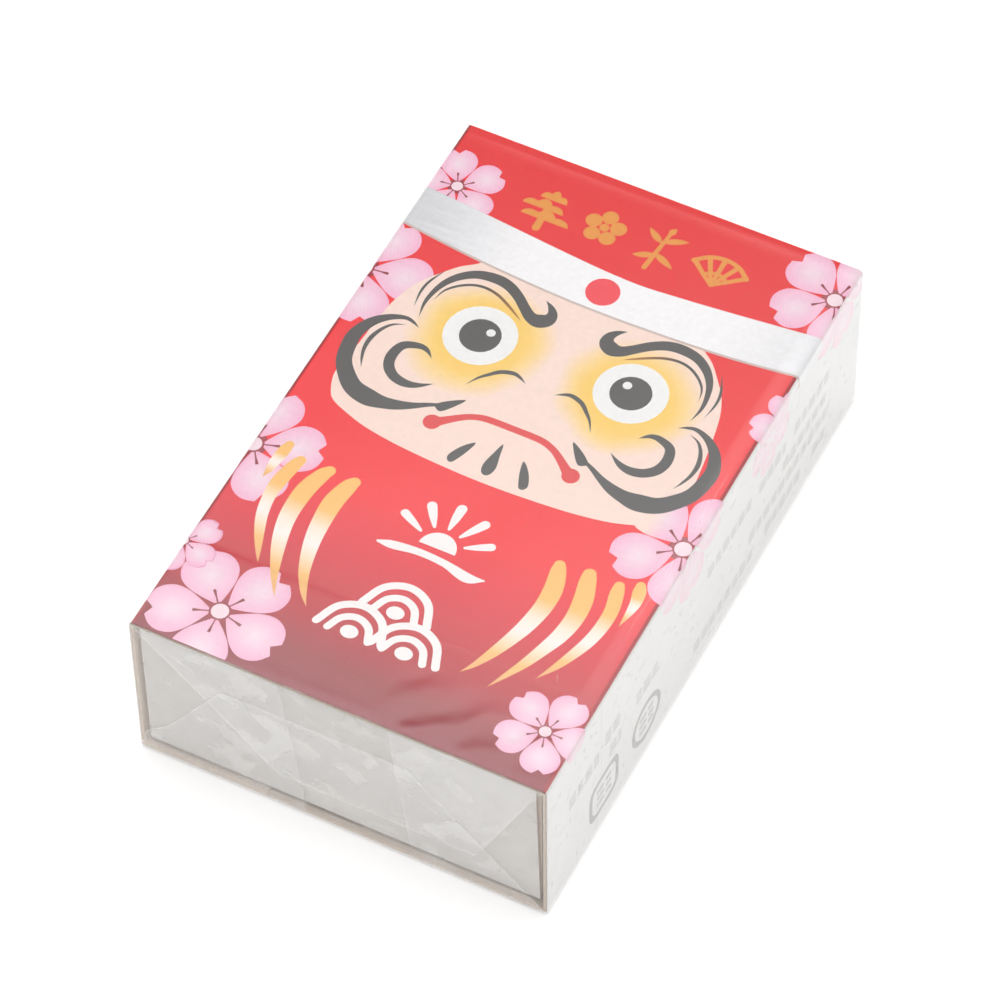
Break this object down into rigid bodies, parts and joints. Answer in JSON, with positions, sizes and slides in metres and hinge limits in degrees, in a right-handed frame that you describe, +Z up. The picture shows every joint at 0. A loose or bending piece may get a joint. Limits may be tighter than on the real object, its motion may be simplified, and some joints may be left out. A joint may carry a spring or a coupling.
{
  "type": "slide box of caramels",
  "caption": "Film-wrapped slide box: a printed board sleeve with a daruma face, and a board tray of wrapped caramels that slides out of it.",
  "frame": {"origin": "middle of the underside of the wrapped box, which is the surface that it rests on", "axes": "+X to the box's right side, +Y along the box to its far end, which the tray moves away from, and +Z up through the printed top"},
  "size_m": [0.046, 0.0734, 0.021],
  "materials": {
    "printed_board": "coated and printed, semi-gloss",
    "tray_board": "uncoated, matte",
    "clear_film": "clear, glossy",
    "caramel": "smooth, slightly waxy",
    "wrapper_film": "waxy, semi-gloss"
  },
  "bodies": {
    "sleeve": {"sleeve": "printed_board"},
    "tray": {"tray": "tray_board", "caramel_1": "caramel", "caramel_2": "caramel", "caramel_3": "caramel", "caramel_4": "caramel", "caramel_5": "caramel", "caramel_6": "caramel", "caramel_7": "caramel", "caramel_8": "caramel", "caramel_9": "caramel", "caramel_10": "caramel", "caramel_11": "caramel", "caramel_12": "caramel", "wrapper_1": "wrapper_film", "wrapper_2": "wrapper_film", "wrapper_3": "wrapper_film", "wrapper_4": "wrapper_film", "wrapper_5": "wrapper_film", "wrapper_6": "wrapper_film", "wrapper_7": "wrapper_film", "wrapper_8": "wrapper_film", "wrapper_9": "wrapper_film", "wrapper_10": "wrapper_film", "wrapper_11": "wrapper_film", "wrapper_12": "wrapper_film"},
    "film_wrap": {"film_wrap": "clear_film"},
    "film_cap": {"film_cap": "clear_film"}
  },
  "joints": [
    {"name": "tray_slide", "type": "slide", "parent": "sleeve", "child": "tray", "axis": [0, -1, 0], "range_m": [0, 0.06]},
    {"name": "film_cap_slide", "type": "slide", "parent": "sleeve", "child": "film_cap", "axis": [0, -1, 0], "range_m": [0, 0.096]},
    {"name": "film_wrap_slide", "type": "slide", "parent": "sleeve", "child": "film_wrap", "axis": [0, 1, 0], "range_m": [0, 0.066]}
  ],
  "couplings": [
    {"joint": "film_cap_slide", "follows": "tray_slide", "ratio": 1.6}
  ]
}
